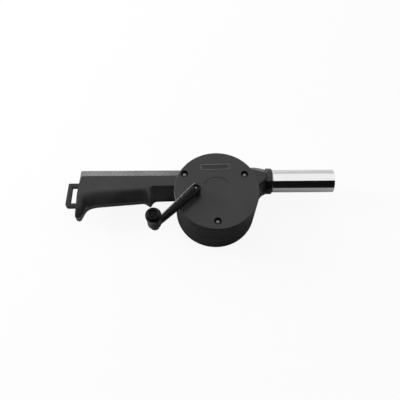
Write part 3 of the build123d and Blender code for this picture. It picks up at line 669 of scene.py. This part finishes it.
def floor_finish():
    """Pale floor: nearly white to the camera, with the part's soft shadow on it. For the light and the
    reflections that reach the part its colour is painted: white behind it, grey below it as painted
    shade, darker before the drum as a painted shadow and dark far in front as a painted dark reflection."""
    finish = Finish("stage_floor")
    finish.set(Roughness=0.9, Specular_IOR_Level=0.1)
    path = finish.node("ShaderNodeLightPath").outputs["Is Camera Ray"]
    split = finish.node("ShaderNodeSeparateXYZ", Vector=finish.place)
    # Painted dark reflection: far in front, the floor is near black to rays other than camera rays.
    nearness = finish.between(split.outputs["Y"], 0.0, 1.0, -0.143, -0.086)
    behind = finish.between(split.outputs["Y"], 0.0, 1.0, 0.05, 0.12)
    cloud = finish.noise(0.4, 2.0)
    # Painted shade: under the part the floor is grey to rays other than camera rays.
    grey = finish.tint(cloud, (0.42, 0.42, 0.42), (0.44, 0.44, 0.44))
    pale = finish.tint(cloud, (0.78, 0.78, 0.78), (0.8, 0.8, 0.8))
    # Painted shadow: a darker patch before the drum, where x is near zero, for rays other than camera rays.
    beside = finish.node("ShaderNodeMath")
    beside.operation = "ABSOLUTE"
    finish.tree.links.new(split.outputs["X"], beside.inputs[0])
    beside = finish.between(beside.outputs[0], 0.0, 1.0, 0.05, 0.07)
    grey = finish.blend(beside, (0.14, 0.14, 0.14, 1), grey)
    floor_tone_with_painted_shade = finish.blend(nearness, (0.01, 0.01, 0.01, 1), finish.blend(behind, grey, pale))
    finish.link(finish.blend(path, floor_tone_with_painted_shade, pale), "Base Color")
    glow = finish.node("ShaderNodeEmission", Color=(1, 1, 1, 1), Strength=1.0)
    share = finish.node("ShaderNodeMath")
    share.operation = "MULTIPLY"
    finish.tree.links.new(path, share.inputs[0])
    share.inputs[1].default_value = 0.9
    mix = finish.node("ShaderNodeMixShader", Fac=share.outputs[0])
    finish.tree.links.new(finish.shader.outputs["BSDF"], mix.inputs[1])
    finish.tree.links.new(glow.outputs["Emission"], mix.inputs[2])
    finish.tree.links.new(mix.outputs["Shader"], finish.tree.nodes["Material Output"].inputs["Surface"])
    return finish.material


def soft_light(name, place, target, width, height, power):
    light = bpy.data.lights.new(name, "AREA")
    light.shape = "RECTANGLE"
    light.size, light.size_y = width, height
    light.energy = power
    made = bpy.data.objects.new(name, light)
    bpy.context.scene.collection.objects.link(made)
    aim = Vector(target) - Vector(place)
    made.location = place
    made.rotation_mode = "QUATERNION"
    made.rotation_quaternion = aim.to_track_quat("-Z", "Y")
    return made


class BLOWER_OT_studio(bpy.types.Operator):
    """Lays the pale floor and sets the soft studio light"""
    bl_idname = "blower.studio"
    bl_label = "Studio"

    def execute(self, context):
        world_by_direction()
        bm = bmesh.new()
        bmesh.ops.create_grid(bm, x_segments=1, y_segments=1, size=4.0)
        bmesh.ops.translate(bm, vec=(0, 0, -0.0002), verts=bm.verts)
        floor = to_object(bm, "floor")
        floor.data.materials.append(floor_finish())
        soft_light("side", (-1.0, 0.3, 0.55), (0, 0, 0.04), 0.36, 0.36, 8.0)
        soft_light("low", (-0.42, 1.05, 0.13), (-0.03, 0, 0.03), 0.7, 0.22, 9.0)
        return {"FINISHED"}


# ---------------------------------------------------------------- the shells
def drum_radius(height):
    return BACK_RADIUS + (FACE_RADIUS - BACK_RADIUS) * height / DRUM_DEPTH


def drum_solid():
    """Outside of the drum with its rounded rim and back edge, and the parting groove."""
    groove, rim = sizes().parting_groove / MM, sizes().cover_rounding / MM
    middle = drum_radius(PARTING)
    corners = [(0, 0), (BACK_RADIUS, 0, 1.6), (drum_radius(8), 8), (drum_radius(18), 18),
               (middle, PARTING - 1.45 * groove), (middle - groove, PARTING - 0.45 * groove),
               (middle - groove, PARTING + 0.45 * groove), (middle, PARTING + 1.45 * groove),
               (drum_radius(35), 35), (drum_radius(44), 44), (FACE_RADIUS, DRUM_DEPTH, rim),
               (0, DRUM_DEPTH)]
    return turned(rounded(corners))


def cavity():
    """Inside of the drum."""
    low, high = WALL, CAVITY_TOP
    return turned([(0, low), (drum_radius(low) - WALL, low), (drum_radius(high) - WALL, high), (0, high)])


def hook_share(point):
    """How far a point of the handle's outline lies in the hook, from 0 to 0.8."""
    inside = min(1.0, max(0.0, (HANDLE_END + 15 - point.x) / 6))
    return 0.8 * inside * min(1.0, max(0.0, (-3 - point.y) / 10))


def whole_body():
    """Drum, handle and duct as one solid, hollowed and bored."""
    groove, crease = sizes().parting_groove / MM, sizes().crease_rounding / MM
    handle = [(HANDLE_END + x, y, trim, weight) for x, y, trim, weight in HANDLE_WIDE]
    front = [(HANDLE_END + x, y) for x, y in HANDLE_NARROW]
    duct = [(DUCT_END - x, TUBE_Y + y, trim, weight) for x, y, trim, weight in DUCT_WIDE]
    nose = [(DUCT_END - x, TUBE_Y + y) for x, y in DUCT_NARROW]
    grip = stacked(handle, front, HANDLE_RISE, groove, crease, hook_share)
    body = carve(drum_solid(), grip, "UNION")
    body = carve(body, stacked(duct, nose, DUCT_RISE, groove, crease), "UNION")
    body = carve(body, cavity())
    bore = [(0, 18), (TUBE_BORE - 0.6, 18), (TUBE_BORE - 0.6, TUBE_START), (TUBE_SEAT_RADIUS, TUBE_START),
            (TUBE_SEAT_RADIUS, SLEEVE_START), (SLEEVE_RADIUS + 0.02, SLEEVE_START),
            (SLEEVE_RADIUS + 0.02, DUCT_END + 1), (0, DUCT_END + 1)]
    return carve(body, turned(bore, 64, "X"))


def recess(spot, surface, depth, up):
    """Cutter of a round recess with a rounded lip; up is 1 at the front and -1 at the back."""
    lip = sizes().recess_lip / MM
    floor = surface - up * depth
    profile = [(0, floor), (RECESS_RADIUS, floor, 0.3), (RECESS_RADIUS, surface - up * 1.2 * lip, lip),
               (RECESS_RADIUS + 1.3 * lip, surface + up * 0.25),
               (RECESS_RADIUS + 1.3 * lip, surface + up * 2), (0, surface + up * 2)]
    return turned(rounded(profile), 40, at=spot)


def intake_cutter():
    """Arc-shaped slots of the air intake, each with slightly rounded corners."""
    parts = []
    for inner, outer in INTAKE_RINGS:
        for sector in range(INTAKE_SPOKES):
            middle = 2 * pi * (sector + 0.5) / INTAKE_SPOKES
            corners = []
            for radius, sign in ((outer, 1), (inner, -1)):
                half = pi / INTAKE_SPOKES - SPOKE_WIDTH / 2 / radius
                steps = 10
                for k in range(steps + 1):
                    angle = middle + sign * half * (2 * k / steps - 1)
                    trim = 0.5 if k in (0, steps) else 0
                    corners.append((radius * cos(angle), radius * sin(angle), trim))
            parts.append(prism(rounded(corners, 3), -1.0, WALL + 1))
    return joined(*parts)


def badge_outline(grow):
    """Rounded rectangle of the name plate, turned to its place."""
    half_x, half_y = BADGE_SIZE[0] / 2 + grow, BADGE_SIZE[1] / 2 + grow
    corners = [(-half_x, -half_y, 1.1), (half_x, -half_y, 1.1), (half_x, half_y, 1.1), (-half_x, half_y, 1.1)]
    turn = radians(BADGE_TURN)
    return [(BADGE_PLACE[0] + x * cos(turn) - y * sin(turn), BADGE_PLACE[1] + x * sin(turn) + y * cos(turn))
            for x, y in rounded(corners, 5)]


def halved(body, side):
    """The part of the body on one side of the parting plane, closed again."""
    bm = body.copy()
    height = PARTING + side * 0.02
    cut = bmesh.ops.bisect_plane(bm, geom=bm.verts[:] + bm.edges[:] + bm.faces[:], plane_co=(0, 0, height),
                                 plane_no=(0, 0, side), clear_inner=True)
    rim = [e for e in cut["geom_cut"] if isinstance(e, bmesh.types.BMEdge)]
    bmesh.ops.triangle_fill(bm, edges=rim, use_beauty=True, use_dissolve=False)
    bmesh.ops.recalc_face_normals(bm, faces=bm.faces)
    return bm


class BLOWER_OT_shells(bpy.types.Operator):
    """Moulds the front and the rear shell with grip, duct, recesses and air intake"""
    bl_idname = "blower.shells"
    bl_label = "Moulded shells"

    def execute(self, context):
        plastic = grained_plastic("shell_plastic", colours().shell[:], 0.29, sizes().grain_size, 0.00003,
                                  0.44)
        body = whole_body()
        front, rear = halved(body, 1), halved(body, -1)
        body.free()
        for spot in RECESS_SPOTS:
            front = carve(front, recess(spot, DRUM_DEPTH, RECESS_DEPTH, 1))
        disc = [(0, DRUM_DEPTH - DISC_DEPTH), (DISC_RADIUS, DRUM_DEPTH - DISC_DEPTH, 0.15),
                (DISC_RADIUS, DRUM_DEPTH - 0.15, 0.12), (DISC_RADIUS + 0.3, DRUM_DEPTH + 0.2),
                (DISC_RADIUS + 0.3, DRUM_DEPTH + 2), (0, DRUM_DEPTH + 2)]
        front = carve(front, turned(rounded(disc), 96))
        front = carve(front, prism(badge_outline(0.12), DRUM_DEPTH - 0.5, DRUM_DEPTH + 2))
        front = carve(front, turned([(0, 49), (4.6, 49), (4.6, 55), (0, 55)], 48, at=SHAFT))
        rear = carve(rear, intake_cutter())
        back = PARTING - HANDLE_RISE
        for spot in HANDLE_SPOTS:
            rear = carve(rear, recess(spot, back, HANDLE_RECESS_DEPTH, -1))
        half = LOOP_DEPTH / 2 + 0.05
        seats = ((16.75, 21.35), (-7.15, -2.55))        # of the loop's two ends in the pommel, along Y
        slot = joined(*(box((HANDLE_END - 3, low, PARTING - half), (HANDLE_END + 4, high, PARTING + half))
                        for low, high in seats))
        front = carve(front, slot.copy())
        rear = carve(rear, slot)
        piece("front_moulding", front, plastic, "housing", ["front_shell"])
        piece("rear_moulding", rear, plastic, "housing", ["rear_shell"])
        return {"FINISHED"}


# ---------------------------------------------------------------- small parts of the housing
class BLOWER_OT_badge(bpy.types.Operator):
    """Makes the bare name plate with its raised border"""
    bl_idname = "blower.badge"
    bl_label = "Name plate"

    def execute(self, context):
        plate = prism(badge_outline(-0.05), DRUM_DEPTH - 0.5, DRUM_DEPTH + 0.16, 0.08)
        finish = glossy_plastic("badge_plastic", shaded(colours().trim, 1.1), 0.3, 0.35)
        piece("name_plate", plate, finish, "housing", ["badge_plate"])
        border = carve(prism(badge_outline(-0.12), DRUM_DEPTH + 0.1, DRUM_DEPTH + 0.3, 0.08),
                       prism(badge_outline(-0.72), DRUM_DEPTH, DRUM_DEPTH + 1))
        pale = glossy_plastic("badge_border", (0.13, 0.13, 0.132), 0.4, 0.3)
        piece("plate_border", border, pale, "housing")
        return {"FINISHED"}


class BLOWER_OT_loop(bpy.types.Operator):
    """Makes the hanging loop at the pommel"""
    bl_idname = "blower.loop"
    bl_label = "Hanging loop"

    def execute(self, context):
        low, high = PARTING - LOOP_DEPTH / 2, PARTING + LOOP_DEPTH / 2
        outer = [(-141.8, 21.3), (-158.25, 21.3, 1.0), (-159.85, -4.4, 1.4), (-157.65, -7.1, 1.1),
                 (-141.8, -7.1)]
        hole = [(-144.3, 16.8), (-153.85, 16.8, 0.8), (-154.65, -2.6, 0.8), (-144.3, -2.6)]
        ring = prism(rounded(outer, 6), low, high, 0.7, 3)
        cut = prism(rounded(hole, 4), low - 1, high + 1)
        ring = carve(ring, cut)
        rims = [e for e in ring.edges
                if all(abs(abs(v.co.z - PARTING) - LOOP_DEPTH / 2) < 0.01 and -154.9 < v.co.x < -149
                       and -2.8 < v.co.y < 17.0 for v in e.verts)]
        bmesh.ops.bevel(ring, geom=rims, offset=0.5, segments=3, profile=0.5, affect="EDGES", material=-1,
                        clamp_overlap=True)
        finish = grained_plastic("loop_plastic", colours().trim[:], 0.46, sizes().grain_size, 0.00003, 0.3)
        piece("loop_ring", ring, finish, "housing", ["hanging_loop"])
        return {"FINISHED"}


class BLOWER_OT_outlet(bpy.types.Operator):
    """Makes the polished outlet tube and its grooved collar"""
    bl_idname = "blower.outlet"
    bl_label = "Outlet"

    def execute(self, context):
        full = COLLAR_END + 0.5
        tube = [(TUBE_BORE, TUBE_START), (TUBE_SEAT_RADIUS, TUBE_START), (TUBE_SEAT_RADIUS, full),
                (TUBE_RADIUS, full + 0.15, 0.1), (TUBE_RADIUS, 70), (TUBE_RADIUS, 95), (TUBE_RADIUS, 118),
                (TUBE_RADIUS, TUBE_END, 0.38), (TUBE_BORE, TUBE_END, 0.35), (TUBE_BORE, 118), (TUBE_BORE, 90),
                (TUBE_BORE, 62)]
        piece("tube", turned(rounded(tube), 160, "X"), polished_tube("tube_steel", colours().tube[:]),
              "housing", ["outlet_tube"])
        wide, slim = COLLAR_RADIUS, COLLAR_RADIUS - 0.7
        first, second = COLLAR_GROOVES
        profile = [(TUBE_SEAT_RADIUS + 0.02, SLEEVE_START), (SLEEVE_RADIUS, SLEEVE_START),
                   (SLEEVE_RADIUS, DUCT_END), (slim - 0.5, DUCT_END), (slim, first - 0.24),
                   (slim, first + 0.24, 0.1), (wide, first + 0.36, 0.1), (wide, second - 0.36, 0.1),
                   (slim, second - 0.24, 0.1), (slim, second + 0.24, 0.1), (wide - 0.1, second + 0.36, 0.1),
                   (wide - 0.45, COLLAR_END - 0.75, 0.3), (wide - 1.5, COLLAR_END, 0.35),
                   (TUBE_SEAT_RADIUS + 0.25, COLLAR_END, 0.15), (TUBE_SEAT_RADIUS + 0.02, COLLAR_END - 0.3)]
        finish = glossy_plastic("collar_plastic", shaded(colours().trim, 0.8), 0.18, 0.5)
        piece("collar", turned(rounded(profile), 128, "X"), finish, "housing",
              ["outlet_collar"])
        return {"FINISHED"}


def screw_head(at, seat, up, radius=2.75, height=1.3):
    """Pan head with a cross recess, on a plain shank."""
    top = seat + up * height
    profile = [(0, seat - up * 6), (1.45, seat - up * 6), (1.45, seat), (radius, seat, 0.1),
               (radius, seat + up * 0.4 * height, 0.6), (radius * 0.52, top, 0.5), (0, top)]
    head = turned(rounded(profile), 40, at=at)
    turn = Matrix.Rotation(radians(23), 3, "Z")
    bars = []
    for size in ((radius * 0.7, 0.42, 1.0), (0.42, radius * 0.7, 1.0), (0.7, 0.7, 1.0)):
        bar = bmesh.new()
        bmesh.ops.create_cube(bar, size=1.0)
        bmesh.ops.scale(bar, vec=size, verts=bar.verts)
        bmesh.ops.rotate(bar, cent=(0, 0, 0), verts=bar.verts,
                         matrix=turn @ Matrix.Rotation(radians(45 if size[0] == size[1] else 0), 3, "Z"))
        bmesh.ops.translate(bar, vec=(at[0], at[1], top - up * 0.45), verts=bar.verts)
        bars.append(bar)
    for bar in bars:
        head = carve(head, bar)
    return head


class BLOWER_OT_screws(bpy.types.Operator):
    """Makes the cross-head screws of the cover, of the handle's back and of the crank's hub"""
    bl_idname = "blower.screws"
    bl_label = "Screws"

    def execute(self, context):
        plated = machined("screw_steel", (0.15, 0.15, 0.155), 0.26, (1, 1, 0.2))
        seat = DRUM_DEPTH - RECESS_DEPTH
        heads = [screw_head(spot, seat, 1) for spot in RECESS_SPOTS]
        piece("cover_screw_heads", joined(*heads), plated, "housing", ["cover_screws"])
        seat = PARTING - HANDLE_RISE + HANDLE_RECESS_DEPTH
        heads = [screw_head(spot, seat, -1) for spot in HANDLE_SPOTS]
        piece("handle_screw_heads", joined(*heads), plated, "housing", ["handle_screws"])
        head = screw_head(SHAFT, HUB_SEAT, 1, HUB_HEAD_RADIUS)
        piece("hub_screw_head", head, plated, "crank", ["hub_screw"])
        return {"FINISHED"}


# ---------------------------------------------------------------- crank and knob
def arm_outline():
    """Outline of two circles joined by their tangents, along +X from the shaft, with the end of
    the first one cut off blunt."""
    hub, tip = ARM_HUB_RADIUS, ARM_TIP_RADIUS
    start = acos((hub - tip) / CRANK_REACH)
    cut = acos(-ARM_END / hub)
    points = []
    for low, high, corner in ((start, cut, 4), (2 * pi - cut, 2 * pi - start, 0)):
        for k in range(5):
            angle = low + (high - low) * k / 4
            points.append((hub * cos(angle), hub * sin(angle), 0.9 if k == corner else 0))
    for k in range(13):
        angle = -start + 2 * start * k / 12
        points.append((CRANK_REACH + tip * cos(angle), tip * sin(angle)))
    return rounded(points, 5)


def to_crank(bm):
    """Turns a bmesh that lies along +X from the shaft to the crank's angle."""
    bmesh.ops.rotate(bm, cent=(0, 0, 0), matrix=Matrix.Rotation(radians(CRANK_ANGLE), 3, "Z"), verts=bm.verts)
    bmesh.ops.translate(bm, vec=(SHAFT[0], SHAFT[1], 0), verts=bm.verts)
    return bm


class BLOWER_OT_crank(bpy.types.Operator):
    """Makes the crank arm with its hub, its raised rib and the seat of the knob"""
    bl_idname = "blower.crank"
    bl_label = "Crank arm"

    def execute(self, context):
        arm = prism(arm_outline(), ARM_BACK, ARM_FRONT - RIB_HEIGHT, slope=ARM_SLOPE)
        bore = [(0, 50), (SHAFT_BORE, 50), (SHAFT_BORE, SHAFT_BORE_END), (0, SHAFT_BORE_END)]
        arm = carve(arm, turned(bore, 40))
        inner, top = SHAFT_BORE + 0.08, ARM_BACK + 1.2
        hub = [(inner, HUB_FOOT), (HUB_SKIRT_RADIUS, HUB_FOOT), (HUB_SKIRT_RADIUS, HUB_FOOT + 0.7, 0.2),
               (HUB_RADIUS, HUB_FOOT + 1.0, 0.2), (HUB_RADIUS, top), (inner, top)]
        arm = carve(arm, turned(rounded(hub), 48), "UNION")
        back, on = 1.1 - ARM_END, CRANK_REACH
        rib = [(back, -2.0, 0.5), (on, -1.9), (on, 1.9), (back, 2.0, 0.5)]
        arm = carve(arm, prism(rounded(rib), ARM_BACK + 1.5, ARM_FRONT, slope=RIB_SLOPE), "UNION")
        pad = [(0, ARM_BACK), (ARM_PAD_RADIUS, ARM_BACK, 0.5), (ARM_PAD_RADIUS, ARM_FRONT, 0.6),
               (0, ARM_FRONT)]
        arm = carve(arm, turned(rounded(pad), 48, at=(CRANK_REACH, 0)), "UNION")
        wall = HUB_HEAD_RADIUS + 0.15
        seat = [(0, HUB_SEAT), (wall, HUB_SEAT), (wall, ARM_FRONT - 0.25, 0.2), (wall + 0.3, ARM_FRONT + 0.3),
                (wall + 0.3, ARM_FRONT + 2), (0, ARM_FRONT + 2)]
        arm = carve(arm, turned(rounded(seat), 40))
        arm = carve(arm, turned([(0, 50), (PIN_BORE, 50), (PIN_BORE, 70), (0, 70)], 32, at=(CRANK_REACH, 0)))
        finish = glossy_plastic("arm_plastic", shaded(colours().crank, 0.6), 0.3, 0.13)
        piece("arm", to_crank(arm), finish, "crank", ["crank_arm"])
        return {"FINISHED"}


class BLOWER_OT_knob(bpy.types.Operator):
    """Makes the turning knob and the pin that it turns on"""
    bl_idname = "blower.knob"
    bl_label = "Knob and pin"

    def execute(self, context):
        end, foot = KNOB_END, KNOB_FOOT
        body = [(2.05, foot), (6.2, foot, 0.3), (6.85, foot + 1.0, 0.5), (6.8, foot + 6),
                (6.95, end - 10.2, 1.5), (7.6, end - 7.0, 1.0), (7.7, end - 5.6, 0.6), (7.7, end - 3.4, 0.9)]
        ring = [(5.75, end - 0.25, 0.35), (5.55, end - 0.02, 0.12), (5.15, end - 0.02, 0.1),
                (5.0, end - 0.6, 0.1), (4.85, end - 0.6, 0.1), (4.3, end - 0.02, 0.15),
                (3.95, end - 0.02, 0.12)]
        well = [(3.8, end - 0.3, 0.1), (3.8, end - 2.5, 0.2), (2.05, end - 2.5)]
        # Painted reflection: the knob's body below is eleven times lighter than the crank plastic, standing
        # in for the floor's light on it.
        finish = plastic_painted_light_below("knob_plastic", shaded(colours().crank, 11.0), shaded(colours().crank, 1.0),
                          (end - 9.5) * MM, (end - 7.0) * MM)
        knob = turned(rounded(body + ring + well), 96, at=KNOB)
        piece("knob", knob, finish, "knob", ["knob_grip"])
        seat = end - 2.2
        pin = [(0, ARM_BACK - 0.8), (2.9, ARM_BACK - 0.8, 0.5), (2.9, ARM_BACK), (2.0, ARM_BACK), (2.0, seat),
               (3.5, seat, 0.1), (3.5, seat + 1.4, 0.8), (0, seat + 1.5)]
        blacked = machined("pin_steel", (0.012, 0.012, 0.0125), 0.34, (1, 1, 0.15))
        piece("pin", turned(rounded(pin), 48, at=KNOB), blacked, "crank", ["knob_pin"])
        return {"FINISHED"}


# ---------------------------------------------------------------- inner parts
class BLOWER_OT_inner(bpy.types.Operator):
    """Dresses the parts inside the drum: gears, shafts, bearings, gear plate and fan"""
    bl_idname = "blower.inner"
    bl_label = "Inner parts"

    def execute(self, context):
        steel = machined("shaft_steel", (0.58, 0.58, 0.59), 0.26, (1, 1, 0.05))
        brass = machined("bush_brass", (0.68, 0.50, 0.24), 0.3, (1, 1, 0.1))
        dull = grained_plastic("inner_plastic", shaded(colours().shell, 1.4), 0.55, 0.0006, 0.00004)
        blades = grained_plastic("fan_plastic", shaded(colours().shell, 1.9), 0.5, 0.0005, 0.00003)
        tooth = nylon("gear_nylon")
        dressed = {"gear_plate": dull, "impeller": blades, "drive_gear": tooth, "idler_gear": tooth,
                   "crank_bush": brass, "fan_bush_front": brass, "fan_bush_rear": brass, "fan_pinion": brass,
                   "idler_axle": steel, "crank_shaft": steel, "fan_shaft": steel, "fan_retainer": steel}
        for name, finish in dressed.items():
            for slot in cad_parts[name].material_slots:
                slot.material = finish
        return {"FINISHED"}


# ---------------------------------------------------------------- the add-on
class BLOWER_PT_panel(bpy.types.Panel):
    """Lists the sizes, the colours and the pieces"""
    bl_label = "Forge blower"
    bl_idname = "BLOWER_PT_panel"
    bl_space_type = "VIEW_3D"
    bl_region_type = "UI"
    bl_category = "Blower"

    def draw(self, context):
        for group in (context.scene.blower_sizes, context.scene.blower_colours):
            for name in group.__annotations__:
                self.layout.prop(group, name)
        for operator in OPERATORS:
            self.layout.operator(operator.bl_idname)


OPERATORS = (BLOWER_OT_camera, BLOWER_OT_studio, BLOWER_OT_shells, BLOWER_OT_badge, BLOWER_OT_loop,
             BLOWER_OT_outlet, BLOWER_OT_screws, BLOWER_OT_crank, BLOWER_OT_knob, BLOWER_OT_inner)
CLASSES = (BlowerSizes, BlowerColours, *OPERATORS, BLOWER_PT_panel)


def register():
    for made in CLASSES:
        bpy.utils.register_class(made)
    bpy.types.Scene.blower_sizes = PointerProperty(type=BlowerSizes)
    bpy.types.Scene.blower_colours = PointerProperty(type=BlowerColours)


def unregister():
    del bpy.types.Scene.blower_colours
    del bpy.types.Scene.blower_sizes
    for made in reversed(CLASSES):
        bpy.utils.unregister_class(made)


def main():
    register()
    bpy.context.scene.view_settings.view_transform = "Standard"
    for operator in OPERATORS:
        group, name = operator.bl_idname.split(".")
        getattr(getattr(bpy.ops, group), name)()


if __name__ == "__main__":
    main()
